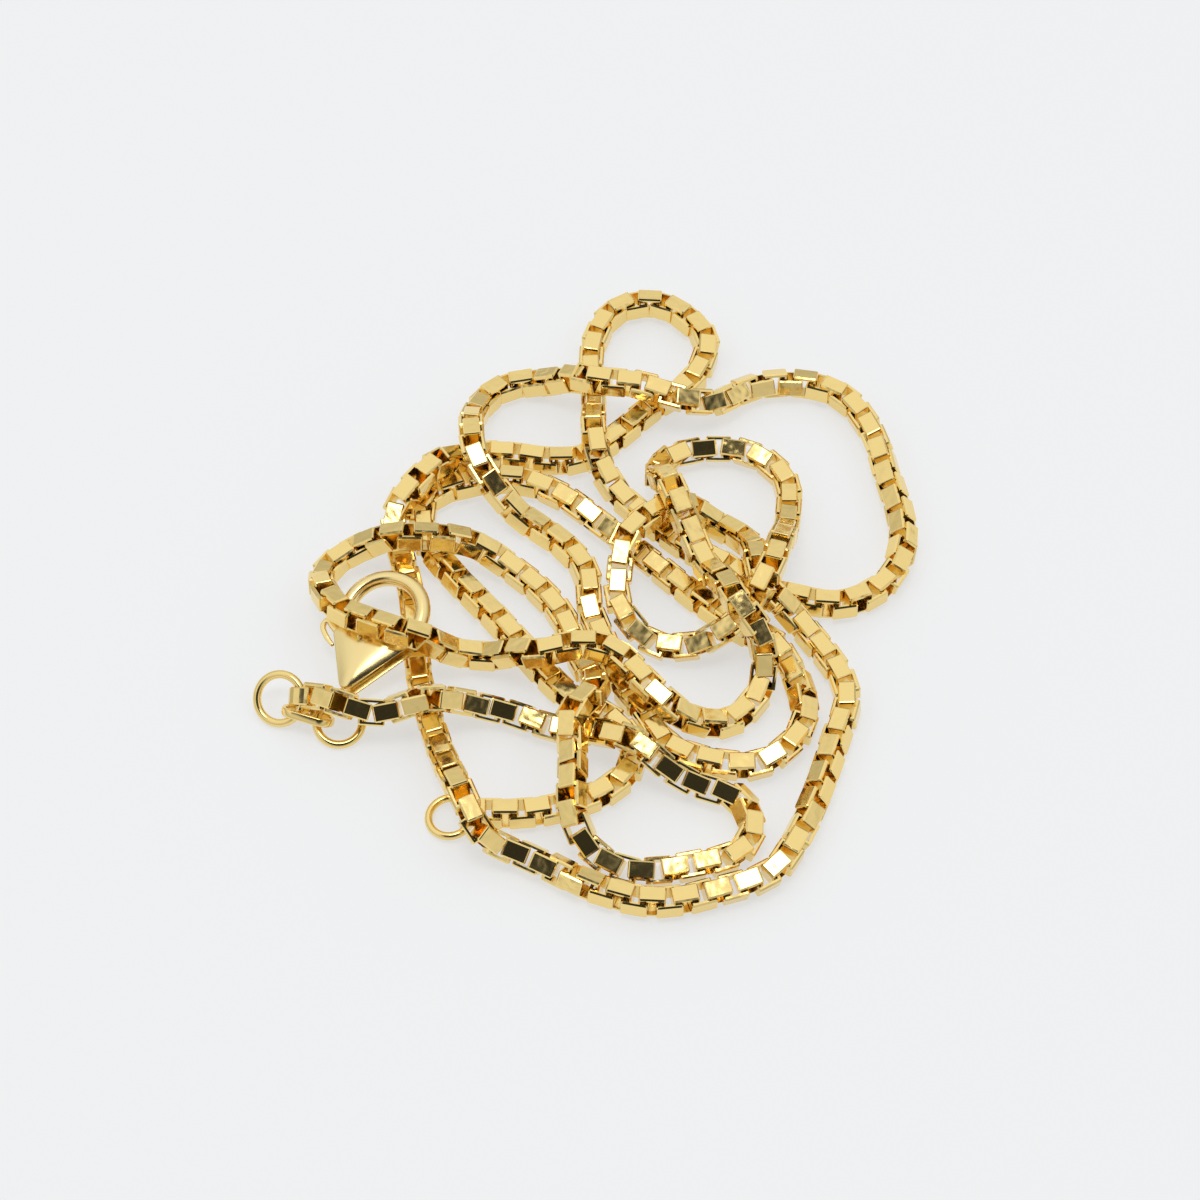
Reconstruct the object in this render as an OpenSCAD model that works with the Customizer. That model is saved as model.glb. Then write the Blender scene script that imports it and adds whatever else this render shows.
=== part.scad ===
// Box chain necklace, laid down in loose loops on a table.
// Millimetres, +Z up, the table at z = 0 and the origin under the middle of the whole outline.

/* [Chain] */
// Height and width of the square chain
chain_h = 2; // [1.8:0.05:2.1]
// Room left between a strand and the strand that it climbs over
stack_gap = 0.3; // [0.3:0.05:0.5]

/* [End links] */
// Length of the first and the last link, along the chain
link_len = 1.9; // [1.7:0.05:2]
// Width of the strip that a link is folded from
strip_w = 1.33; // [1.1:0.01:1.4]
// Thickness of that strip
strip_t = 0.27; // [0.2:0.01:0.3]

/* [Rings] */
// Outer diameter of the ring at the far end, which the clasp hooks on
end_ring_d = 3.8; // [3.4:0.1:4.2]
// Wire diameter of the end ring
end_ring_wire = 0.6; // [0.5:0.02:0.7]
// Outer diameter of the jump ring between the chain and the connector tag
neck_ring_d = 4.3; // [4.1:0.05:4.5]
// Outer diameter of the jump ring between the connector tag and the clasp
clasp_ring_d = 4.05; // [3.9:0.05:4.2]
// Wire diameter of both jump rings
jump_wire = 0.64; // [0.5:0.02:0.68]

/* [Connector tag] */
// Distance between the centres of the tag's two holes
tag_pitch = 1.9; // [1.8:0.05:2]
// Diameter of each hole
tag_hole_d = 1.6; // [1.55:0.05:1.7]
// Width of the metal round a hole
tag_rim = 0.3; // [0.25:0.01:0.35]
// Thickness of the tag
tag_t = 0.25; // [0.2:0.01:0.28]

/* [Clasp] */
// Outer diameter of the hook
hook_d = 7.2; // [6.8:0.1:7.4]
// Diameter of the hook's round wire
hook_wire = 1.2; // [1:0.05:1.3]
// Thickness of the clasp's body at its shoulders
body_t = 1.3; // [1.25:0.01:1.4]
// Thickness of the clasp's body at the top of its dome
dome_t = 1.7; // [1.5:0.05:1.8]
// Thickness of the lever
lever_t = 0.6; // [0.5:0.02:0.62]
// Width of the lever's bar
lever_w = 0.9; // [0.7:0.05:1]
// Diameter of the pin that the lever turns on
pin_d = 0.7; // [0.5:0.05:0.8]
// Diameter of the lever's thumb knob
knob_d = 1; // [0.8:0.05:1.1]

/* [Clearances] */
// Room all round the pin, and between the lever and the body
play = 0.05; // [0.03:0.01:0.07]
// Gap between one end of the chain and its end link
link_gap = 0.1; // [0.05:0.01:0.12]

/* [Hidden] */
gold = "#E3C06A";
pale_gold = "#EBD08A";

// Route of the chain from the clasp end to the end ring, from above: x, y and how many strands lie under it
route = [
  // from the clasp end, over the left upright, to the front
  [-20.75, -10.25, 0.65], [-19, -11.25, 0.95], [-16.5, -11.5, 0.6], [-13, -11, 1.1], [-10.5, -10.5, 0.6],
  [-7.5, -10.5, 0], [-3.5, -12, 0], [-1.5, -12.5, 0.2], [0.5, -13.5, 0.75], [2.5, -14.5, 1.05],
  [5, -16, 0.4], [7.5, -17, 0], [10, -18, 0], [11, -20.5, 0], [10, -22.5, 0], [7, -23.5, 0],
  [2.5, -24, 0], [-0.5, -22.5, 0.1], [-2, -20, 0.8], [-2, -18, 1.05], [-2, -15, 0.85], [-2, -12.5, 1.3],
  // back across the middle to the left, round, and over the clasp
  [-0.5, -10.5, 1.15], [-0.5, -8.5, 0.55], [-1.5, -6, 0], [-3, -2, 0], [-6, 1.5, 0], [-9.5, 3.5, 0.55],
  [-12.5, 3.5, 1.05], [-15.5, 3.5, 1.1], [-18.5, 3.5, 0.4], [-21, 1.5, 0.25], [-21, -1, 0.95],
  [-19.5, -3.5, 1.35], [-17, -4.75, 1.4], [-14, -6, 1.55], [-11, -6, 0.5], [-8.5, -6, 0.2],
  [-6.5, -6.5, 0.8], [-4.5, -7, 1.1], [-1.5, -6.5, 1.25], [1, -7, 1.15], [3, -9, 1], [4.5, -10.5, 0.85],
  [6.5, -11.5, 0.3],
  // up the middle with its sharp corner, and round the small loop
  [9.5, -11.5, 0], [12, -9, 0.15], [12, -6, 1.4], [10.5, -4.5, 2.2], [9.5, -2, 1.85], [8, 1, 1.1],
  [7, 3.5, 1.3], [6, 5.5, 1.8], [5.5, 7, 1.9], [4.5, 10, 0.65], [5.5, 12.5, 0.1], [8.5, 13.5, 0],
  [12, 13, 0], [14.5, 10.5, 0], [14.5, 6, 0.3], [13.5, 1.5, 1.75], [12.5, -1.5, 2], [11, -3.5, 1.15],
  [9, -4.5, 0.6], [7, -5, 0.15], [4, -4.5, 0], [1.5, -1.5, 0.35], [1.5, 1, 0.45], [2, 3.5, 1.05],
  [4.5, 6, 1.05], [6.5, 7, 0.7], [9.5, 6, 0], [11.5, 4, 0.3], [12, 1.5, 0.95], [12.5, -1, 1],
  [14, -2, 0.55], [16, -4, 0],
  // along the front, and up the left side
  [18.5, -9, 0], [17.5, -13, 0], [14.5, -21, 0], [12.5, -24, 0], [9, -25.5, 0], [4, -26.5, 0],
  [0, -25.5, 0], [-6, -22.5, 0.05], [-8.5, -21.75, 0.65], [-10, -19, 1.1], [-11, -16.5, 0.6],
  [-12, -13.5, 0.05], [-13.5, -8, 0], [-14.5, 0, 0], [-15.5, 4, 0], [-16, 6.5, 0.2], [-14.5, 8.5, 0.95],
  // the back loop, down through the middle, and round the right side
  [-12.5, 11, 0.8], [-11, 12, 0.35], [-9, 13, 0], [-2, 12.5, 0], [1, 14.5, 0], [4, 17.5, 0],
  [7.5, 20.5, 0], [8.5, 24.5, 0], [5, 28, 0], [1.5, 27.5, 0], [-0.5, 24, 0], [-0.5, 18, 0.05],
  [-0.5, 16, 0.6], [-0.5, 13.5, 1.1], [0, 11, 0.75], [2, 8.5, 0], [7, 4, 0], [9.5, 2.5, 0], [12, 0.5, 0],
  [15, -0.5, 0], [18.5, -1, 0], [22, 1, 0], [23.5, 5, 0], [22.5, 11.5, 0], [21.5, 15.5, 0], [19, 19, 0],
  [15.5, 20, 0], [12, 19.5, 0], [9, 17.5, 0.4], [6.5, 17, 0.9], [3.5, 18, 1.05], [-0.5, 18.5, 1.15],
  [-3, 19.5, 0.5], [-6, 20, 0], [-8.5, 19, 0], [-10, 16, 0.45], [-10, 13, 1.2], [-9.5, 10.5, 1.2],
  // down the middle again, round, and along the inner strands to the end ring
  [-7.5, 8, 0.55], [-5.5, 6.5, 0], [-2.5, 4, 0], [-1, 1.5, 0], [-0.75, -1.5, 0], [0.5, -5, 0],
  [1.5, -8, 0], [3.5, -11, 0], [5, -13.5, 0], [8.5, -15, 0], [12, -15, 0], [15, -12, 0], [15, -8.5, 0],
  [13, -4.5, 0], [11, -3.5, 0], [8, -1, 0], [0, 6.5, 0], [-3, 9, 0], [-6.5, 10.5, 0], [-11, 10, 0],
  [-13.5, 8.5, 0], [-13.5, 5, 0], [-12, 2.5, 0], [-7, -3.5, 0], [-4, -7.5, 0], [-1.5, -10, 0],
  [1, -11.5, 0], [2.5, -14, 0], [1.5, -16.5, 0], [-2, -18.5, 0], [-6, -19.25, 0], [-8.25, -19.25, 0]
];
// The two halves of the chain meet at this point of the route
meet = 78;

// Sides of the chain's outline
sides = 8;
// The outline's corner radius, for flats that are chain_h apart
corner_r = chain_h / 2 / cos(180 / sides);
// Height gained for each strand underneath
lift_step = chain_h + stack_gap;
// The middle line of the chain, at its heights above the table
line = [for (p = route) [p.x, p.y, chain_h / 2 + lift_step * p.z]];

// Corners of the outline across the chain at point i, with a flat side down
function outline(i) =
  let (back = line[max(i - 1, 0)])
  let (ahead = line[min(i + 1, len(line) - 1)])
  let (along = (ahead - back) / norm(ahead - back))
  let (across = [-along.y, along.x, 0] / norm([along.x, along.y]))
  let (up = cross(along, across))
  [for (k = [0 : sides - 1])
    let (a = 360 / sides * (k + 0.5))
    line[i] + corner_r * (cos(a) * across + sin(a) * up)];

// One stretch of the chain as a solid, from point first to point last
module chain_run(first, last) {
  rows = last - first;
  polyhedron(
    points = [for (i = [first : last]) each outline(i)],
    faces = concat(
      [[for (k = [0 : sides - 1]) k]],
      [for (i = [0 : rows - 1], k = [0 : sides - 1])
        let (n = (k + 1) % sides)
        each [
          [i * sides + k, (i + 1) * sides + k, (i + 1) * sides + n],
          [i * sides + k, (i + 1) * sides + n, i * sides + n]
        ]],
      [[for (k = [sides - 1 : -1 : 0]) rows * sides + k]]
    ),
    convexity = 20
  );
}

// A ring that is raised on one side: its centre-line radius, wire, slope and the heading of its high side
neck_r = (neck_ring_d - jump_wire) / 2;
neck_tilt = 35;
neck_heading = 30;
neck_at = [-23.95, -9.7, jump_wire / 2 + neck_r * sin(neck_tilt) + 0.03];
clasp_r = (clasp_ring_d - jump_wire) / 2;
clasp_ring_tilt = 14;
clasp_ring_at = [-19.45, -11.4, jump_wire / 2 + clasp_r * sin(clasp_ring_tilt) + 0.02];

// Point of a sloping ring, angle counted from the level direction to the right of its high side
function ring_point(at, r, tilt, heading, angle) =
  let (level = [cos(heading), -sin(heading), 0])
  let (rise = [sin(heading) * cos(tilt), cos(heading) * cos(tilt), sin(tilt)])
  at + r * (cos(angle) * level + sin(angle) * rise);

// The first link holds the neck ring here, and is rolled to let the ring's wire pass
neck_hold = ring_point(neck_at, neck_r, neck_tilt, neck_heading, 30);
first_roll = 30;
link_in = link_len - 2 * strip_t;
// Room between a ring's wire and the end of its link, as the wire curves away
ring_slack = 0.3;
first_at = neck_hold + [(link_in - jump_wire) / 2 - ring_slack, 0, 0];

// The last link stands on the table at the end of the chain and holds the end ring
chain_end = line[len(line) - 1];
last_at = [chain_end.x - link_gap - link_len / 2, chain_end.y, chain_h / 2];
end_r = (end_ring_d - end_ring_wire) / 2;
end_tilt = asin((strip_t + play) / (2 * end_r));
end_at = [last_at.x - (link_in - end_ring_wire) / 2 + ring_slack - end_r, last_at.y,
  end_ring_wire / 2 + end_r * sin(end_tilt)];

// The tag lies on its long lower edge, leaning on the two jump rings
tag_at = [-21.8, -10.95, 1];
tag_heading = 18;
tag_tilt = 46;
tag_w = tag_hole_d + 2 * tag_rim;

// The clasp in its own plane: +Y from the tail to the hook, +X towards the pin, z = 0 in mid-thickness
clasp_at = [-19.25, -9, 1.35];
clasp_heading = 25;
clasp_pitch = 11;
clasp_roll = 7.5;
hook_r = (hook_d - hook_wire) / 2;
hook_mid = [0.3, 6.8];
// The hook runs from the right shoulder over the top to its tip, as angles round hook_mid
hook_from = -35;
hook_to = 203;
// Corners of the body: x, y and radius
shoulder_right = [2.55, 4.8, 0.85];
shoulder_left = [-1.75, 3.3, 0.7];
tail = [0, 0.75, 0.65];
dome_mid = [0.3, 2.9];
dome_r = 1.5;
pivot = [2.45, 4.85];
lever_tip = [-2.6, 4.2];
knob_mid = [-3.3, 3.9];
slot_t = lever_t + 2 * play;
// Corners of the slot that the lever sweeps, open to the left of the body and above its shoulders
slot_corners = [pivot + [1.1, -0.6], pivot + [1.1, 2], [-5, 6], [-5, 0.6], [-1, 1.6], pivot + [-0.5, -1]];
// Room round the lever's end at its pin
pivot_room = 0.2;
// The tail's eye has its hole along X, and hangs a little below mid-thickness
eye_d = 1.7;
eye_hole_d = 1.15;
eye_w = 0.7;
eye_mid = [0, -0.7, -0.1];
eye_turn = 22;

// How far a cutter runs past the faces that it cuts
past = 1;

// Middle of the whole outline on the table
corners = [for (i = [0 : len(line) - 1]) each outline(i)];
left_x = neck_at.x - jump_wire / 2
  - neck_r * norm([cos(neck_heading), sin(neck_heading) * cos(neck_tilt)]);
low = [min(left_x, min([for (c = corners) c.x])), min([for (c = corners) c.y])];
high = [max([for (c = corners) c.x]), max([for (c = corners) c.y])];
middle = (low + high) / 2;

$fn = 48;

module centred() {
  translate([-middle.x, -middle.y, 0]) children();
}

module in_clasp() {
  translate(clasp_at) rotate([clasp_pitch, -clasp_roll, -clasp_heading]) children();
}

module wire_ring(r, wire) {
  rotate_extrude() translate([r, 0]) circle(d = wire);
}

// A link of folded strip: a square window with its axis along Y
module box_link() {
  difference() {
    cube([link_len, strip_w, chain_h], center = true);
    cube([link_in, strip_w + past, chain_h - 2 * strip_t], center = true);
  }
}

module chain_clasp_half() {
  color(gold) centred() chain_run(0, meet);
}

module chain_ring_half() {
  color(gold) centred() chain_run(meet, len(route) - 1);
}

module first_link() {
  color(gold) centred() translate(first_at) rotate([first_roll, 0, 0]) box_link();
}

module last_link() {
  color(gold) centred() translate(last_at) box_link();
}

module neck_jump_ring() {
  color(pale_gold) centred() translate(neck_at) rotate([neck_tilt, 0, -neck_heading]) wire_ring(neck_r, jump_wire);
}

module clasp_jump_ring() {
  color(pale_gold) centred() translate(clasp_ring_at) rotate([clasp_ring_tilt, 0, 0]) wire_ring(clasp_r, jump_wire);
}

module end_ring() {
  color(pale_gold) centred() translate(end_at) rotate([0, -end_tilt, 0]) wire_ring(end_r, end_ring_wire);
}

module connector_tag() {
  color(pale_gold) centred() translate(tag_at) rotate([-tag_tilt, 0, -tag_heading])
    difference() {
      union() {
        cube([tag_pitch, tag_w, tag_t], center = true);
        for (side = [-1, 1]) translate([side * tag_pitch / 2, 0, 0]) cylinder(d = tag_w, h = tag_t, center = true);
      }
      for (side = [-1, 1])
        translate([side * tag_pitch / 2, 0, 0]) cylinder(d = tag_hole_d, h = tag_t + past, center = true);
    }
}

// A rounded corner of the body, as thick as given
module body_corner(c, thick) {
  translate([c.x, c.y, 0]) scale([1, 1, thick / 2 / c.z]) sphere(r = c.z, $fn = 32);
}

module body_form() {
  hull() {
    body_corner(shoulder_right, body_t);
    body_corner(shoulder_left, body_t);
    body_corner(tail, body_t);
    body_corner([dome_mid.x, dome_mid.y, dome_r], dome_t);
  }
}

// Space that the lever sweeps between the two walls of the body
module lever_slot() {
  linear_extrude(slot_t, center = true) polygon(slot_corners);
}

module hook() {
  translate([hook_mid.x, hook_mid.y, 0]) {
    rotate([0, 0, hook_from]) rotate_extrude(angle = hook_to - hook_from) translate([hook_r, 0]) circle(d = hook_wire);
    rotate([0, 0, hook_to]) translate([hook_r, 0, 0]) sphere(d = hook_wire);
  }
}

module tail_eye() {
  translate(eye_mid) rotate([0, 90, eye_turn]) cylinder(d = eye_d, h = eye_w, center = true);
}

module clasp_body() {
  color(gold) centred() in_clasp()
    difference() {
      union() {
        difference() {
          body_form();
          lever_slot();
        }
        hook();
        tail_eye();
      }
      translate(eye_mid) rotate([0, 90, eye_turn]) cylinder(d = eye_hole_d, h = eye_w + past, center = true);
      translate([pivot.x, pivot.y, 0]) cylinder(d = pin_d + 2 * play, h = body_t + past, center = true);
      translate([pivot.x, pivot.y, 0]) cylinder(r = lever_w / 2 + pivot_room, h = slot_t, center = true);
    }
}

module clasp_lever() {
  color(pale_gold) centred() in_clasp()
    difference() {
      union() {
        hull() {
          translate([pivot.x, pivot.y, 0]) cylinder(d = lever_w, h = lever_t, center = true, $fn = 32);
          translate([lever_tip.x, lever_tip.y, 0]) cylinder(d = lever_w, h = lever_t, center = true, $fn = 32);
        }
        hull() {
          translate([lever_tip.x, lever_tip.y, 0]) cylinder(d = lever_w, h = lever_t, center = true, $fn = 32);
          translate([knob_mid.x, knob_mid.y, 0]) cylinder(d = knob_d, h = lever_t, center = true, $fn = 32);
        }
        translate([knob_mid.x, knob_mid.y, 0]) cylinder(d = knob_d, h = 2 * lever_t, center = true);
      }
      translate([pivot.x, pivot.y, 0]) cylinder(d = pin_d + 2 * play, h = body_t + past, center = true);
    }
}

module clasp_pin() {
  color(gold) centred() in_clasp() translate([pivot.x, pivot.y, 0]) cylinder(d = pin_d, h = body_t, center = true);
}

chain_clasp_half();
chain_ring_half();
first_link();
last_link();
neck_jump_ring();
connector_tag();
clasp_jump_ring();
clasp_body();
clasp_lever();
clasp_pin();
end_ring();
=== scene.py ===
from math import cos, pi, radians, sin, tau

import bmesh
import bpy
import numpy as np
from mathutils import Euler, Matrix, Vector


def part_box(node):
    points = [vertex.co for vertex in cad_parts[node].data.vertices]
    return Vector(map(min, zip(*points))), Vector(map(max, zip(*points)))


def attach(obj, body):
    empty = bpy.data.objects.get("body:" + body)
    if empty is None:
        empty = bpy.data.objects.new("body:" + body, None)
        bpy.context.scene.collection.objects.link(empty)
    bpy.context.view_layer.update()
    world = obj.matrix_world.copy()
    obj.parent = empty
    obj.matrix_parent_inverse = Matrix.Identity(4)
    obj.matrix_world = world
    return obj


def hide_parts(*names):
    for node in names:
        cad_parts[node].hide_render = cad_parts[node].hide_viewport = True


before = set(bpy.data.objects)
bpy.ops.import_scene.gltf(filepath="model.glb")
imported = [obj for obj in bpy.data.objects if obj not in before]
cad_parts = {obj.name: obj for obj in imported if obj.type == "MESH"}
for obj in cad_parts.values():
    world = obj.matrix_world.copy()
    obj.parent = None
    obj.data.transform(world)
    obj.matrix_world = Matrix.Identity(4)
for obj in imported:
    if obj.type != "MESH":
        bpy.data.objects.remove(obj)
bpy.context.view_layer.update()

# Millimetres, as in the part's source, until MM turns a mesh into metres
MM = 0.001

# Route of the chain from the clasp end to the end ring, from above: x, y and how many strands lie under it
ROUTE = [
    # from the clasp end, over the left upright, to the front
    (-20.75, -10.25, 0.65), (-19, -11.25, 0.95), (-16.5, -11.5, 0.6), (-13, -11, 1.1), (-10.5, -10.5, 0.6),
    (-7.5, -10.5, 0), (-3.5, -12, 0), (-1.5, -12.5, 0.2), (0.5, -13.5, 0.75), (2.5, -14.5, 1.05),
    (5, -16, 0.4), (7.5, -17, 0), (10, -18, 0), (11, -20.5, 0), (10, -22.5, 0), (7, -23.5, 0),
    (2.5, -24, 0), (-0.5, -22.5, 0.1), (-2, -20, 0.8), (-2, -18, 1.05), (-2, -15, 0.85), (-2, -12.5, 1.3),
    # back across the middle to the left, round, and over the clasp
    (-0.5, -10.5, 1.15), (-0.5, -8.5, 0.55), (-1.5, -6, 0), (-3, -2, 0), (-6, 1.5, 0), (-9.5, 3.5, 0.55),
    (-12.5, 3.5, 1.05), (-15.5, 3.5, 1.1), (-18.5, 3.5, 0.4), (-21, 1.5, 0.25), (-21, -1, 0.95),
    (-19.5, -3.5, 1.35), (-17, -4.75, 1.4), (-14, -6, 1.55), (-11, -6, 0.5), (-8.5, -6, 0.2),
    (-6.5, -6.5, 0.8), (-4.5, -7, 1.1), (-1.5, -6.5, 1.25), (1, -7, 1.15), (3, -9, 1), (4.5, -10.5, 0.85),
    (6.5, -11.5, 0.3),
    # up the middle with its sharp corner, and round the small loop
    (9.5, -11.5, 0), (12, -9, 0.15), (12, -6, 1.4), (10.5, -4.5, 2.2), (9.5, -2, 1.85), (8, 1, 1.1),
    (7, 3.5, 1.3), (6, 5.5, 1.8), (5.5, 7, 1.9), (4.5, 10, 0.65), (5.5, 12.5, 0.1), (8.5, 13.5, 0),
    (12, 13, 0), (14.5, 10.5, 0), (14.5, 6, 0.3), (13.5, 1.5, 1.75), (12.5, -1.5, 2), (11, -3.5, 1.15),
    (9, -4.5, 0.6), (7, -5, 0.15), (4, -4.5, 0), (1.5, -1.5, 0.35), (1.5, 1, 0.45), (2, 3.5, 1.05),
    (4.5, 6, 1.05), (6.5, 7, 0.7), (9.5, 6, 0), (11.5, 4, 0.3), (12, 1.5, 0.95), (12.5, -1, 1),
    (14, -2, 0.55), (16, -4, 0),
    # along the front, and up the left side
    (18.5, -9, 0), (17.5, -13, 0), (14.5, -21, 0), (12.5, -24, 0), (9, -25.5, 0), (4, -26.5, 0),
    (0, -25.5, 0), (-6, -22.5, 0.05), (-8.5, -21.75, 0.65), (-10, -19, 1.1), (-11, -16.5, 0.6),
    (-12, -13.5, 0.05), (-13.5, -8, 0), (-14.5, 0, 0), (-15.5, 4, 0), (-16, 6.5, 0.2), (-14.5, 8.5, 0.95),
    # the back loop, down through the middle, and round the right side
    (-12.5, 11, 0.8), (-11, 12, 0.35), (-9, 13, 0), (-2, 12.5, 0), (1, 14.5, 0), (4, 17.5, 0),
    (7.5, 20.5, 0), (8.5, 24.5, 0), (5, 28, 0), (1.5, 27.5, 0), (-0.5, 24, 0), (-0.5, 18, 0.05),
    (-0.5, 16, 0.6), (-0.5, 13.5, 1.1), (0, 11, 0.75), (2, 8.5, 0), (7, 4, 0), (9.5, 2.5, 0), (12, 0.5, 0),
    (15, -0.5, 0), (18.5, -1, 0), (22, 1, 0), (23.5, 5, 0), (22.5, 11.5, 0), (21.5, 15.5, 0), (19, 19, 0),
    (15.5, 20, 0), (12, 19.5, 0), (9, 17.5, 0.4), (6.5, 17, 0.9), (3.5, 18, 1.05), (-0.5, 18.5, 1.15),
    (-3, 19.5, 0.5), (-6, 20, 0), (-8.5, 19, 0), (-10, 16, 0.45), (-10, 13, 1.2), (-9.5, 10.5, 1.2),
    # down the middle again, round, and along the inner strands to the end ring
    (-7.5, 8, 0.55), (-5.5, 6.5, 0), (-2.5, 4, 0), (-1, 1.5, 0), (-0.75, -1.5, 0), (0.5, -5, 0),
    (1.5, -8, 0), (3.5, -11, 0), (5, -13.5, 0), (8.5, -15, 0), (12, -15, 0), (15, -12, 0), (15, -8.5, 0),
    (13, -4.5, 0), (11, -3.5, 0), (8, -1, 0), (0, 6.5, 0), (-3, 9, 0), (-6.5, 10.5, 0), (-11, 10, 0),
    (-13.5, 8.5, 0), (-13.5, 5, 0), (-12, 2.5, 0), (-7, -3.5, 0), (-4, -7.5, 0), (-1.5, -10, 0),
    (1, -11.5, 0), (2.5, -14, 0), (1.5, -16.5, 0), (-2, -18.5, 0), (-6, -19.25, 0), (-8.25, -19.25, 0),
]
# The point of the route at which the two halves of the chain meet
MEET = 78
# Room between a strand and the strand that it climbs over
STACK_GAP = 0.3
# Gap between the end of the route and the last link
LINK_GAP = 0.1
# Thickness of the strip that a link is folded from, and the distance from link to link
STRIP_T = 0.27
PITCH = 1.19
# Width of the bright cut edge on a link's faces
CUT_EDGE = 0.11
# Length of the links between the two end links, which the source draws as a plain tube
PLATE_LEN = 1.96
# Outer radius of a link's folds, of those of the end link that holds the neck ring, and the least on their inside
FOLD_R = 0.15
END_FOLD = 0.7
LEAST_FOLD = 0.01
# Points round each of a link's four folds
FOLD_POINTS = 4
# How the chain is turned about its own line: point of the route, and degrees to the right-hand side as it runs.
# A quarter turn looks as none does, but with the other links on top.
TURNS = [
    (0, 30), (2, 33), (3, 42), (4, 34), (5, 33), (6, 22), (8, 25), (9, 22), (10, 27), (11, 30), (12, 38),
    (12.5, 45), (13, 75), (14, 78), (15, 79), (15.3, 78), (15.7, 70), (16.1, 62), (17, 72), (17.3, 72),
    (17.8, 57), (18, 55), (20, 62), (21, 65), (22, 75), (23, 85), (24, 90), (26, 90), (27, 105), (28, 111),
    (28.8, 108), (29.5, 100), (30.5, 97), (31, 94), (32, 88), (33, 70), (34, 71), (35, 76), (36, 82), (37, 88),
    (38, 88), (39, 82), (41, 80), (42.2, 84), (42.9, 97), (43.6, 84), (44, 82), (45, 84), (46, 90), (54, 90),
    (55, 110), (55.5, 123), (56, 123), (57, 112), (57.5, 105), (58, 93), (59, 90), (62, 90), (63, 66),
    (63.8, 65), (64.4, 78), (64.6, 78), (65.2, 64), (65.9, 81), (66.3, 84), (67, 90), (69, 90), (70, 85),
    (71, 78), (72, 84), (73, 90), (74, 90), (75, 82), (76, 88), (77, 92), (78, 110), (78.7, 135), (79, 165),
    (79.5, 178), (80, 172), (81, 169), (82, 190), (83, 195), (83.3, 212), (83.6, 234), (84, 240), (84.5, 238),
    (85, 258), (86, 270), (94, 270), (96, 268), (97, 262), (98, 268), (100, 270), (102, 282), (103, 276),
    (104, 270), (109, 270), (110, 268), (113, 262), (114, 262), (115, 270), (116, 315), (117, 332), (118, 347),
    (119, 360), (120, 388), (121, 400), (122, 417), (123, 428), (124, 439), (125, 456), (126, 462), (127, 460),
    (128, 458), (129, 450), (130, 450), (131, 457), (131.6, 460), (132, 445), (132.5, 434), (133, 432),
    (134, 436), (135, 448), (136, 450), (141, 450), (142, 460), (142.5, 463), (143, 452), (143.5, 480),
    (144, 507), (144.5, 527), (145, 540), (146, 545), (147, 555), (147.6, 520), (148, 518), (149, 528),
    (150, 552), (151, 552), (152, 545), (153, 535), (154, 518), (154.5, 520), (155, 535), (156, 532),
    (157, 540), (161, 540), (162, 549), (163, 545),
]
# How much of the path's own slope the links take up, as in places they lie more level than the path between them
SLOPE_SHARE = [
    (120.5, 1), (121.2, 0.3), (122, 0.3), (122.4, 0.8), (122.9, 0.5), (124, 0.6), (124.6, 0.3), (125.4, 0.3),
    (126, 1),
]
# Single links that lie askew, and so look white, near-black or plain: route point, turn about the chain's line, tilt
ASKEW = [
    (2.2, 0, 5), (2.8, 10, -2), (4.4, 0, -12), (5.6, -5, 2), (6.4, -4, 9), (9.3, -8, -12), (10, 2, -5),
    (11.7, -3, 5), (42.9, 4, -9), (46, -8, 0), (46.6, 0, -6), (47.2, -10, 10), (48, -10, -7), (51.05, 6, 0),
    (61.1, 9, 0), (65.25, 0, 3), (65.8, 0, 8), (66.7, 2, -8), (67.5, 1, 12), (79.9, 1, 8), (80.55, -2, 7),
    (83.65, 0, -6), (84.8, 0, -7), (85.55, 10, 6), (92.1, 2, 10), (107.4, -8, 0), (108.2, -5, 0), (121.4, 8, 8),
    (122, -2, 9), (123.7, 8, 0), (130.9, 0, 8), (136.05, 5, 11), (142.2, 0, -8), (147.85, -6, -6),
    (148.25, 3, -9),
]
# How far a link strays from its neighbours, as spreads in degrees: about the chain's line, and sideways
STRAY = (1.5, 1.0)
SEED = 7
# Each link takes its finish from a place of its own: steps in millimetres, and links after which they start again
FINISH_STEPS = (7.3, 3.1)
FINISH_REPEATS = (41, 17)


def box_mm(node):
    """Lowest and highest corner of a CAD node, in millimetres."""
    low, high = (np.array(c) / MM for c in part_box(node))
    return low, high


first_low, first_high = box_mm("first_link")
last_low, last_high = box_mm("last_link")
LINK_LEN, STRIP_W, CHAIN_H = last_high - last_low
FIRST_MID = (first_low + first_high) / 2
LAST_MID = (last_low + last_high) / 2
# From the route's own zero to the part's origin
SHIFT = LAST_MID[:2] + [LINK_GAP + LINK_LEN / 2, 0] - ROUTE[-1][:2]


def new_mesh(name, points, faces, smooth=False):
    """New piece of these faces, with its points in millimetres."""
    mesh = bpy.data.meshes.new(name)
    mesh.from_pydata((np.asarray(points) * MM).tolist(), [], faces)
    mesh.polygons.foreach_set("use_smooth", [smooth] * len(mesh.polygons))
    piece = bpy.data.objects.new(name, mesh)
    bpy.context.collection.objects.link(piece)
    return piece


# The chain's middle line

def hermite(knots, values, slopes, at):
    """Cubic through values at knots with the given slopes."""
    i = np.clip(np.searchsorted(knots, at, "right") - 1, 0, len(knots) - 2)
    step = (knots[i + 1] - knots[i])[:, None]
    s = (at - knots[i])[:, None] / step
    return (
        values[i] * (1 + 2 * s) * (1 - s) ** 2 + slopes[i] * step * s * (1 - s) ** 2
        + values[i + 1] * s * s * (3 - 2 * s) + slopes[i + 1] * step * s * s * (s - 1)
    )


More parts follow.
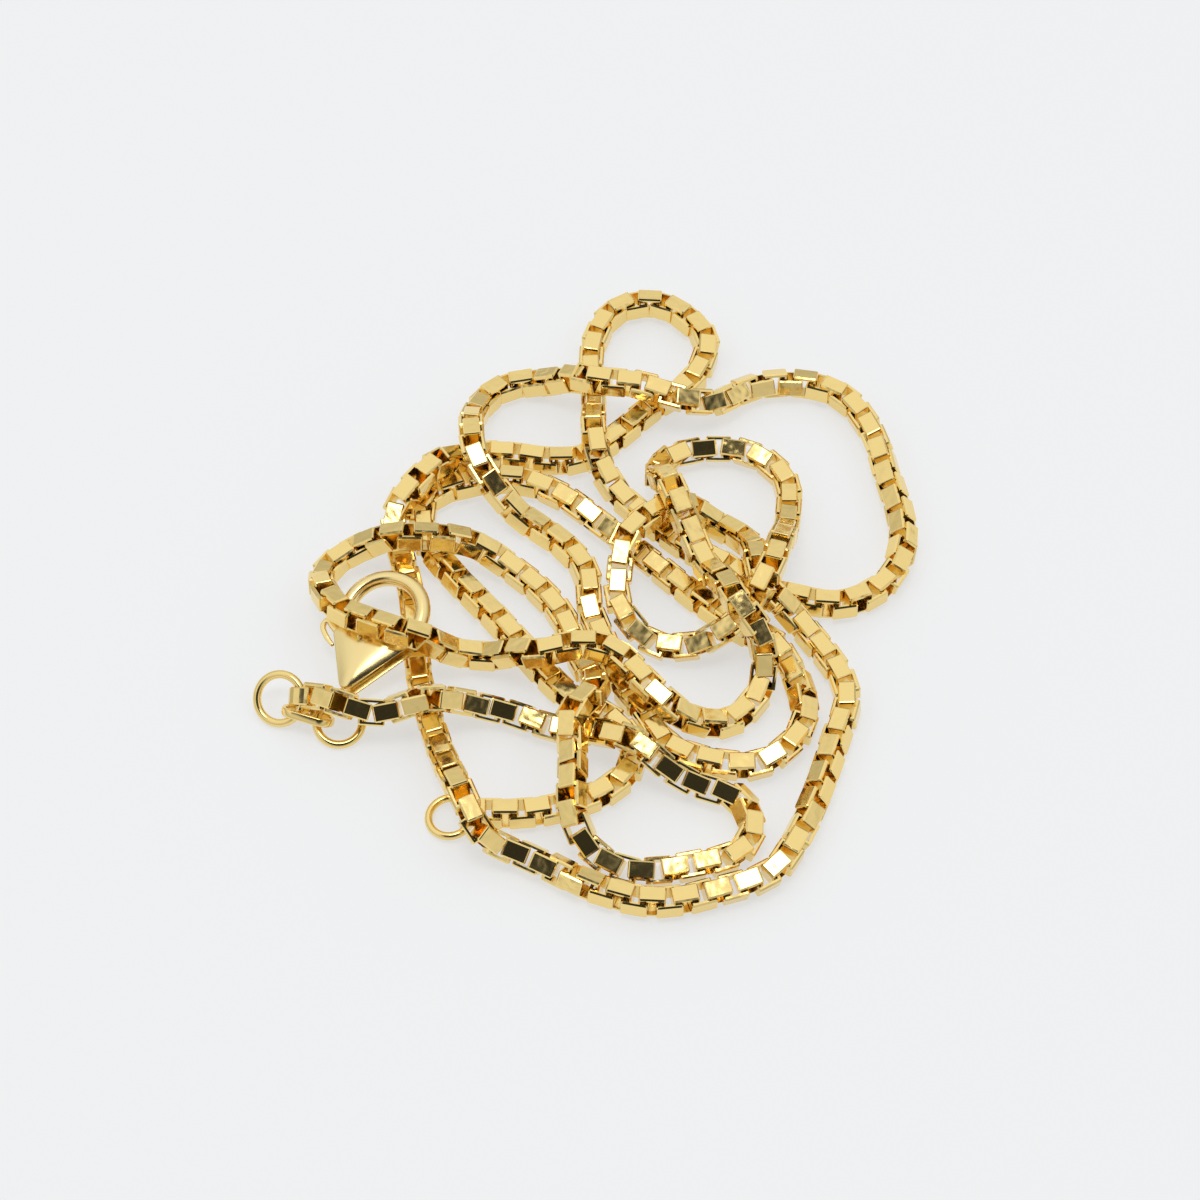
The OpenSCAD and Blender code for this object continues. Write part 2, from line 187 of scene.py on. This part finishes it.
def chain_line(points, steps=24):
    """Dense middle line of the chain, and the point of the route that each place on it belongs to."""
    knots = np.concatenate([[0], np.cumsum(np.linalg.norm(np.diff(points[:, :2], axis=0), axis=1) ** 0.5)])
    rise = np.diff(points, axis=0) / np.diff(knots)[:, None]
    before, after = rise[:-1], rise[1:]
    share = (np.diff(knots)[1:] / (knots[2:] - knots[:-2]))[:, None]
    slopes = np.vstack([rise[:1], before * share + after * (1 - share), rise[-1:]])
    # Heights never swing past their points, so that nothing dips into the floor
    low, high = before[:, 2], after[:, 2]
    slopes[1:-1, 2] = np.where(low * high > 0, 2 * low * high / np.where(low + high == 0, 1, low + high), 0)
    slopes[[0, -1], 2] = 0
    order = np.arange(0, len(points) - 1 + 0.5 / steps, 1 / steps)
    return hermite(knots, points, slopes, np.interp(order, np.arange(len(points)), knots)), order


route = np.array(ROUTE, float)
middle_z = CHAIN_H / 2
path = np.column_stack([route[:, :2] + SHIFT, middle_z + (CHAIN_H + STACK_GAP) * route[:, 2]])
line, order = chain_line(np.vstack([FIRST_MID, path, LAST_MID]))
run = np.concatenate([[0], np.cumsum(np.linalg.norm(np.diff(line, axis=0), axis=1))])
# An odd number of links, so that the first and the last are of one kind
pairs = round(run[-1] / PITCH / 2)
stops = np.linspace(0, run[-1], 2 * pairs + 1)
centres = np.column_stack([np.interp(stops, run, line[:, k]) for k in range(3)])
# Route point that each link belongs to; the first link's own point comes before the route
link_point = np.interp(stops, run, order) - 1
links = len(centres)


def unit(v):
    """Vectors of length one."""
    return v / np.linalg.norm(v, axis=-1, keepdims=True)


def square_to(v, line_dir):
    """The part of each vector that is square to its line, at length one."""
    return unit(v - (v * line_dir).sum(-1, keepdims=True) * line_dir)


along = np.gradient(centres, axis=0)
along[:, 2] *= np.interp(link_point, *np.array(SLOPE_SHARE, float).T)
along = unit(along)
level = square_to(np.tile([0.0, 0.0, 1.0], (links, 1)), along)
rng = np.random.default_rng(SEED)


def turned(v, axis, degrees):
    """Vectors square to their axes, turned about them."""
    a = np.radians(degrees)[:, None]
    return v * np.cos(a) + np.cross(axis, v) * np.sin(a)


turn = np.interp(link_point, *np.array(TURNS, float).T)
loose = np.ones(links)
loose[[0, 1, -2, -1]] = 0
top = turned(level, along, turn + loose * rng.normal(0, STRAY[0], links))
along = unit(turned(along, top, loose * rng.normal(0, STRAY[1], links)))
askew = np.zeros((2, links))
for place, roll, tilt in ASKEW:
    askew[:, np.abs(link_point - place).argmin()] = roll, tilt
top = turned(top, along, askew[0])
side = np.cross(top, along)
# A link's two plates face along its top or its side by turns, and it tilts in its plates' own line
even = (np.arange(links) % 2 == 0)[:, None]
plate = np.where(even, top, side)
plate = plate * np.sign(plate[:, 2:])
along = turned(along, np.cross(plate, along), askew[1])
top = np.where(even, np.cross(along, side), top)
side = np.cross(top, along)


# One link: a strip folded into a square ring, its outer edges cut bright

def link_template(fold, length):
    """Points and faces of a link of this length whose four folds have this outer radius."""
    half = np.array([length / 2, CHAIN_H / 2])
    rows = [
        (-STRIP_W / 2, STRIP_T), (-STRIP_W / 2, CUT_EDGE), (-STRIP_W / 2 + CUT_EDGE, 0),
        (STRIP_W / 2 - CUT_EDGE, 0), (STRIP_W / 2, CUT_EDGE), (STRIP_W / 2, STRIP_T),
    ]
    points = []
    for corner in range(4):
        for step in range(FOLD_POINTS):
            a = (corner + step / (FOLD_POINTS - 1)) * pi / 2
            sign = np.array([1 if corner in (0, 3) else -1, 1 if corner in (0, 1) else -1])
            for across, depth in rows:
                bend = max(fold - depth, LEAST_FOLD)
                t, b = sign * (half - depth - bend) + bend * np.array([cos(a), sin(a)])
                points.append((t, across, b))
    around, deep = 4 * FOLD_POINTS, len(rows)
    faces = [
        (
            i * deep + j, i * deep + (j + 1) % deep,
            (i + 1) % around * deep + (j + 1) % deep, (i + 1) % around * deep + j,
        )
        for i in range(around) for j in range(deep)
    ]
    return np.array(points), np.array(faces)


template, link_faces = link_template(FOLD_R, PLATE_LEN)
# The link that holds the neck ring is bent round it, not folded square
end_template, _ = link_template(END_FOLD, LINK_LEN)


def build_links(name, chosen, *nodes):
    """One piece of all the chosen links, in the place of these CAD nodes."""
    points, faces, local = [], [], []
    for n, k in enumerate(chosen):
        # Every other link is turned a quarter about the chain's line
        axes = np.array([along[k], side[k], top[k]] if k % 2 == 0 else [along[k], top[k], -side[k]])
        form = end_template if k == 0 else template
        placed = form @ axes + centres[k]
        # A link that would reach into the table rests on it
        placed[:, 2] += max(0.0, -placed[:, 2].min())
        points.append(placed)
        faces.append(link_faces + n * len(template))
        own = [step * (k % repeat) for step, repeat in zip(FINISH_STEPS, FINISH_REPEATS)]
        local.append(form + [*own, 0])
    piece = new_mesh(name, np.vstack(points), np.vstack(faces).tolist())
    spot = piece.data.attributes.new("own_place", "FLOAT_VECTOR", "POINT")
    spot.data.foreach_set("vector", np.vstack(local).ravel())
    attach(piece, "necklace")
    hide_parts(*nodes)
    return piece


meeting = int(np.searchsorted(link_point, MEET))
clasp_half = build_links("chain_links_to_clasp", range(meeting), "chain_clasp_half", "first_link")
ring_half = build_links("chain_links_to_ring", range(meeting, links), "chain_ring_half", "last_link")


# Clasp: two domed shells with the lever's slot between them, hook, tail eye, nub; in its own plane, as in the source

CLASP_AT = np.array([-19.25, -9, 1.35])
CLASP_TURN = Euler((radians(11), radians(-7.5), radians(-25)))
# Half the width of the slot between the shells
SLOT = 0.36
HOOK_MID = np.array([0.3, 6.8])
HOOK_R = 3.0
HOOK_WIRE = 1.2
HOOK_ANGLES = (-22, 203)
# Groove along the hook: its place and width, in degrees round the wire, and its depth as a share of the wire's radius
GROOVE_AT = 38
GROOVE_WIDE = 9
GROOVE_DEEP = 0.2
# Corners of a shell: x, y and radius
SHELL = [(2.68, 5.0, 0.8), (-2.15, 4.15, 0.5), (0.15, 0.7, 0.65)]
SHELL_MID = np.array([0.35, 3.5])
EYE_MID = np.array([0, -0.7, -0.1])
EYE_R = 0.71
EYE_TURN = radians(22)
TAG_AT = np.array([-21.8, -10.95, 1])
TAG_TURN = Euler((radians(-46), 0, radians(-18)))
# Radius of the connector's round ends, and how far their middles lie from its own
TAG_R = 0.95
# Degrees at which the rounded end of a swept piece has its loops of points
END_LOOPS = (25, 50, 70, 84)


def placer(at, turn):
    """Takes points of a piece's own plane to the part's frame, in millimetres."""
    spin = np.array(turn.to_matrix())
    return lambda points: np.asarray(points) @ spin.T + at + np.append(SHIFT, 0)


in_clasp = placer(CLASP_AT, CLASP_TURN)
in_tag = placer(TAG_AT, TAG_TURN)


class Form:
    """Points and faces of one piece, gathered from several closed shapes."""

    def __init__(self):
        self.points, self.faces = [], []

    def grid(self, rows, closed=False):
        """Closed surface through equal rows of points, each row a loop; its ends are capped unless it is a ring."""
        rows = np.asarray(rows)
        base, (count, around, _) = len(self.points), rows.shape
        self.points += rows.reshape(-1, 3).tolist()
        for i in range(count if closed else count - 1):
            for j in range(around):
                here, there, k = base + i * around, base + (i + 1) % count * around, (j + 1) % around
                self.faces.append([here + j, here + k, there + k, there + j])
        if not closed:
            for row, order in ((0, range(around - 1, -1, -1)), (count - 1, range(around))):
                self.faces.append([base + row * around + j for j in order])

    def sweep(self, path, sizes, profile, normal=(0, 0, 1), closed=False, taper=True):
        """Profile of (sideways, along normal) points carried along a path, scaled by sizes, with rounded ends."""
        path, sizes = np.asarray(path, float), np.broadcast_to(sizes, (len(path),)).astype(float)
        if closed:
            forward = unit(np.roll(path, -1, 0) - np.roll(path, 1, 0))
        else:
            forward = unit(np.gradient(path, axis=0))
        lift = square_to(np.broadcast_to(np.array(normal, float), path.shape), forward)
        across = np.cross(lift, forward)
        rows = [
            p + s * (profile[:, :1] * a + profile[:, 1:] * b) for p, s, a, b in zip(path, sizes, across, lift)
        ]
        if not closed and taper:
            ends = []
            for k, sign in ((0, -1), (-1, 1)):
                reach = sizes[k] * np.abs(profile).max()
                ends.append([
                    path[k] + (rows[k] - path[k]) * cos(t) + sign * forward[k] * reach * sin(t)
                    for t in np.radians(END_LOOPS)
                ])
            rows = ends[0][::-1] + rows + ends[1]
        self.grid(rows, closed)

    def build(self, name, place, body, material_slot, *nodes):
        """The form as a smooth piece on this body, in the place of these CAD nodes."""
        piece = new_mesh(name, place(self.points), self.faces, smooth=True)
        solid = bmesh.new()
        solid.from_mesh(piece.data)
        bmesh.ops.recalc_face_normals(solid, faces=solid.faces)
        solid.to_mesh(piece.data)
        solid.free()
        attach(piece, body)
        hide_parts(*nodes)
        return piece


def oval(wide, high, power=2.0, count=28):
    """Profile with the given half-width and half-height; squarer as the power grows."""
    a = np.arange(count) * tau / count
    c, s = np.cos(a), np.sin(a)
    return np.column_stack([
        wide * np.sign(c) * np.abs(c) ** (2 / power), high * np.sign(s) * np.abs(s) ** (2 / power),
    ])


def smooth_path(points, steps=10):
    """Rounded path through a few listed points."""
    points = np.array(points, float)
    knots = np.arange(len(points), dtype=float)
    slopes = np.gradient(points, axis=0)
    return hermite(knots, points, slopes, np.linspace(0, knots[-1], steps * (len(points) - 1) + 1))


def shell_outline(grow, count=96):
    """Loop round the three corners of a shell, at even steps."""
    corners = np.array(SHELL)
    loop = []
    for a in np.arange(720) * tau / 720:
        facing = np.array([cos(a), sin(a)])
        far = np.argmax(corners[:, :2] @ facing + corners[:, 2])
        loop.append(corners[far, :2] + (corners[far, 2] + grow) * facing)
    loop = np.array(loop + loop[:1])
    length = np.concatenate([[0], np.cumsum(np.linalg.norm(np.diff(loop, axis=0), axis=1))])
    at = np.arange(count) * length[-1] / count
    return np.column_stack([np.interp(at, length, loop[:, 0]), np.interp(at, length, loop[:, 1])])


def dome(outline, side_of, height, edge, power):
    """Rows of one shell: flat towards the slot, its outside arched between the edges and straight down its length."""
    spine = np.array([-0.06, 1.0])
    # Narrow and low at the tail, wider and higher towards the hook, and lower again at the two edges
    tail_y, length = 0.3, 5.0
    tail_half_width, widening = 0.75, 2.4
    tail_rise, more_rise = 0.72, 0.28
    edge_fall = 0.6
    rows = [SHELL_MID + (outline - SHELL_MID) * r for r in (0.02, 0.5, 0.97)]
    rows = [np.column_stack([row, np.full(len(row), side_of * SLOT)]) for row in rows]
    for r in list(np.cos(np.linspace(0, pi / 2, 15))[:-1]) + [0.02]:
        flat = SHELL_MID + (outline - SHELL_MID) * r
        off = (flat - SHELL_MID) @ np.array([spine[1], -spine[0]])
        up = np.clip((flat[:, 1] - tail_y) / length, 0, 1)
        arch = 1 - edge_fall * np.clip(off / (tail_half_width + widening * up), -1.2, 1.2) ** 2
        rise = edge + height * (tail_rise + more_rise * up) * np.clip(arch, 0, 1) * (1 - r ** power) ** 0.5
        rows.append(np.column_stack([flat, side_of * (SLOT + rise)]))
    return rows


body = Form()
body.grid(dome(shell_outline(0.0), 1, 0.5, 0.06, 4))
body.grid(dome(shell_outline(0.06) + [0.16, -0.14], -1, 0.36, 0.03, 2))
# What joins the shells, along the lower right edge and clear of the lever
body.sweep(
    smooth_path([(0.05, 0.62, 0), (0.5, 1.25, 0), (1.1, 2.15, 0), (1.75, 3.1, 0)]),
    1, oval(0.3, SLOT + 0.06, 6), taper=False,
)
angles = np.radians(np.linspace(*HOOK_ANGLES, 72))
hook_line = np.column_stack([HOOK_MID + HOOK_R * np.column_stack([np.cos(angles), np.sin(angles)]), 0 * angles])
# A groove runs round the hook's inner side, above its middle
around = np.arange(40) * tau / 40
groove = np.exp(-((around - radians(GROOVE_AT)) / radians(GROOVE_WIDE)) ** 2)
bead = HOOK_WIRE / 2 * (1 - GROOVE_DEEP * groove)
body.sweep(hook_line, 1, np.column_stack([bead * np.cos(around), bead * np.sin(around)]))
eye = np.arange(48) * tau / 48
eye_line = EYE_MID + EYE_R * (
    np.outer(np.cos(eye), [-sin(EYE_TURN), cos(EYE_TURN), 0]) + np.outer(np.sin(eye), [0, 0, 1])
)
body.sweep(eye_line, 1, oval(0.15, 0.35, 3), normal=(cos(EYE_TURN), sin(EYE_TURN), 0), closed=True)
# The nub near the upper edge
body.sweep([(-0.3, 4.15, 0.85), (-0.3, 4.15, 1.0)], [1, 0.8], oval(0.22, 0.22), normal=(0, 1, 0))
clasp = body.build("clasp_casing", in_clasp, "necklace", "finding_gold", "clasp_body")

lever = Form()
bar = smooth_path([
    (1.98, 4.79, 0), (0.5, 4.6, 0), (-1.2, 4.38, 0), (-2.3, 4.3, 0), (-3.0, 4.6, 0.03), (-3.5, 4.9, 0.06),
    (-3.82, 4.65, 0.08), (-3.7, 4.15, 0.08), (-3.15, 3.62, 0.04), (-2.5, 3.2, 0),
])
spread = np.interp(np.arange(len(bar)), [0, 30, 45, 60, 80, 90], [1, 1, 0.85, 0.62, 0.6, 0.45])
lever.sweep(bar, spread, oval(0.36, 0.3, 3.5))
thumb = lever.build("clasp_thumb_lever", in_clasp, "lever", "finding_gold", "clasp_lever")

tag = Form()
loop = []
for centre, start in ((TAG_R, -90), (-TAG_R, 90)):
    for a in np.radians(np.linspace(start, start + 180, 25)):
        loop.append((centre + TAG_R * cos(a), TAG_R * sin(a), 0))
tag.sweep(loop, 1, oval(0.16, 0.32, 3), closed=True)
tag.sweep([(0, -TAG_R, 0), (0, 0, 0), (0, TAG_R, 0)], 1, oval(0.15, 0.24, 3), taper=False)
connector = tag.build("connector_frame", in_tag, "necklace", "finding_gold", "connector_tag")


# Materials

GOLD = (0.945, 0.715, 0.28)
SATIN_GOLD = (0.945, 0.745, 0.34)
# Least and most roughness, as shares of what a gold is given
ROUGHNESS_SHARES = (0.7, 1.4)
# Scale of the slow waviness, on a link's own place in millimetres and on the other pieces in metres
LINK_WAVES = 1.1
PIECE_WAVES = 450.0


def new_material(name):
    """A material, its node tree and its shader."""
    material = bpy.data.materials.new(name)
    material.use_nodes = True
    tree = material.node_tree
    shader = tree.nodes["Principled BSDF"]
    return material, tree, shader


def add(tree, kind, **sockets):
    """New node with these values on its sockets, an underscore in a name standing for a space."""
    node = tree.nodes.new(kind)
    for key, value in sockets.items():
        node.inputs[key.replace("_", " ")].default_value = value
    return node


def gold(name, color, roughness, stretch, brush, wave):
    """Polished gold: fine brushing along the piece's own place, and a slow waviness that bends reflections."""
    material, tree, shader = new_material(name)
    shader.inputs["Metallic"].default_value = 1.0
    shader.inputs["Base Color"].default_value = (*color, 1)
    if stretch:
        place = tree.nodes.new("ShaderNodeAttribute")
        place.attribute_name = "own_place"
        spot = place.outputs["Vector"]
    else:
        place = tree.nodes.new("ShaderNodeTexCoord")
        spot = place.outputs["Object"]
    mapping = tree.nodes.new("ShaderNodeMapping")
    mapping.inputs["Scale"].default_value = stretch or (1 / MM,) * 3
    tree.links.new(spot, mapping.inputs["Vector"])
    fine = add(tree, "ShaderNodeTexNoise", Scale=1.0, Detail=2.0, Roughness=0.6)
    tree.links.new(mapping.outputs["Vector"], fine.inputs["Vector"])
    least, most = (roughness * share for share in ROUGHNESS_SHARES)
    rough = add(tree, "ShaderNodeMapRange", To_Min=least, To_Max=most)
    tree.links.new(fine.outputs["Fac"], rough.inputs["Value"])
    tree.links.new(rough.outputs["Result"], shader.inputs["Roughness"])
    slow = add(tree, "ShaderNodeTexNoise", Scale=LINK_WAVES if stretch else PIECE_WAVES, Detail=1.0)
    tree.links.new(spot, slow.inputs["Vector"])
    first = add(tree, "ShaderNodeBump", Strength=1.0, Distance=wave)
    tree.links.new(slow.outputs["Fac"], first.inputs["Height"])
    second = add(tree, "ShaderNodeBump", Strength=1.0, Distance=brush)
    tree.links.new(fine.outputs["Fac"], second.inputs["Height"])
    tree.links.new(first.outputs["Normal"], second.inputs["Normal"])
    tree.links.new(second.outputs["Normal"], shader.inputs["Normal"])
    return material


# The stretch is along, across and deep, on a link's own place; brush and wave are heights in metres
chain_gold = gold("gold_diamond_cut", GOLD, 0.14, stretch=(2.0, 16.0, 16.0), brush=0.0000012, wave=0.00004)
finding_gold = gold("gold_polished", GOLD, 0.17, stretch=None, brush=0.000001, wave=0.00003)
clasp_gold = gold("gold_satin", SATIN_GOLD, 0.2, stretch=None, brush=0.000001, wave=0.00003)
for piece in (clasp_half, ring_half):
    piece.data.materials.append(chain_gold)
for piece in (clasp, thumb):
    piece.data.materials.append(clasp_gold)
connector.data.materials.append(finding_gold)
for node in ("neck_jump_ring", "clasp_jump_ring", "clasp_pin", "end_ring"):
    for slot in bpy.data.objects[node].material_slots:
        slot.material = finding_gold


# Studio

# How far the floor reaches each way, in millimetres
FLOOR_REACH = 1500.0
floor = new_mesh(
    "floor", [(x * FLOOR_REACH, y * FLOOR_REACH, 0) for x, y in ((-1, -1), (1, -1), (1, 1), (-1, 1))], [(0, 1, 2, 3)],
)
floor_mat, tree, shader = new_material("floor_white")
shader.inputs["Base Color"].default_value = (0.40, 0.404, 0.408, 1)
shader.inputs["Roughness"].default_value = 0.9
shader.inputs["Specular IOR Level"].default_value = 0.0
# A base lit from below, as for a product picture, which keeps the shadows faint
shader.inputs["Emission Color"].default_value = (0.985, 0.995, 1.0, 1)
shader.inputs["Emission Strength"].default_value = 0.565
floor.data.materials.append(floor_mat)

# From the front and 57 degrees up, with a long lens, as in the photo
CAMERA_AT = np.array([0.762, -125.41, 192.1]) * MM
CAMERA_TO = np.array([0.762, -0.710, 0.0]) * MM
camera_data = bpy.data.cameras.new("camera")
camera_data.lens = 89.31
camera_data.sensor_width = 36
camera_data.clip_start = 0.01
camera_data.clip_end = 20
camera = bpy.data.objects.new("camera", camera_data)
bpy.context.collection.objects.link(camera)
camera.location = CAMERA_AT
camera.rotation_euler = Vector(CAMERA_TO - CAMERA_AT).to_track_quat("-Z", "Y").to_euler()
bpy.context.scene.camera = camera


def studio_world(overhead, horizon, full_at, patch_share, patch_inner, patch_outer):
    """White surroundings, dimmer near the horizon, with one dark patch where the photographer stands."""
    world = bpy.data.worlds.new("studio")
    bpy.context.scene.world = world
    world.use_nodes = True
    tree = world.node_tree
    background = tree.nodes["Background"]
    background.inputs["Color"].default_value = (0.98, 0.99, 1.0, 1)
    place = tree.nodes.new("ShaderNodeTexCoord")
    parts = tree.nodes.new("ShaderNodeSeparateXYZ")
    tree.links.new(place.outputs["Generated"], parts.inputs["Vector"])
    height = add(tree, "ShaderNodeMapRange", From_Min=0.0, From_Max=full_at, To_Min=horizon, To_Max=overhead)
    height.interpolation_type = "SMOOTHSTEP"
    tree.links.new(parts.outputs["Z"], height.inputs["Value"])
    toward = tree.nodes.new("ShaderNodeVectorMath")
    toward.operation = "DOT_PRODUCT"
    toward.inputs[1].default_value = unit(CAMERA_AT - CAMERA_TO)
    tree.links.new(place.outputs["Generated"], toward.inputs[0])
    patch = add(
        tree, "ShaderNodeMapRange",
        From_Min=cos(radians(patch_outer)), From_Max=cos(radians(patch_inner)), To_Min=1.0, To_Max=patch_share,
    )
    patch.interpolation_type = "SMOOTHSTEP"
    tree.links.new(toward.outputs["Value"], patch.inputs["Value"])
    both = tree.nodes.new("ShaderNodeMath")
    both.operation = "MULTIPLY"
    tree.links.new(height.outputs["Result"], both.inputs[0])
    tree.links.new(patch.outputs["Result"], both.inputs[1])
    tree.links.new(both.outputs["Value"], background.inputs["Strength"])


def softbox(name, elevation, azimuth, distance, size, radiance):
    """Round soft light aimed at the object, azimuth counted from the front to the right."""
    light = bpy.data.lights.new(name, "AREA")
    light.shape = "DISK"
    light.size = size
    # Watts that make a disk of this size send out this radiance
    light.energy = radiance * pi * pi * size * size / 4
    lamp = bpy.data.objects.new(name, light)
    bpy.context.collection.objects.link(lamp)
    e, a = radians(elevation), radians(azimuth)
    lamp.location = distance * Vector((cos(e) * sin(a), -cos(e) * cos(a), sin(e)))
    lamp.rotation_euler = (-lamp.location).to_track_quat("-Z", "Y").to_euler()


# The patch fades out between these angles from the camera's line, in degrees
studio_world(overhead=0.95, horizon=0.5, full_at=0.8, patch_share=0.03, patch_inner=25, patch_outer=39)
softbox("overhead", elevation=86, azimuth=-100, distance=0.5, size=0.2, radiance=3.8)
bpy.context.scene.view_settings.view_transform = "Standard"
bpy.context.scene.view_settings.look = "None"
bpy.context.scene.cycles.max_bounces = 16
bpy.context.scene.cycles.glossy_bounces = 5
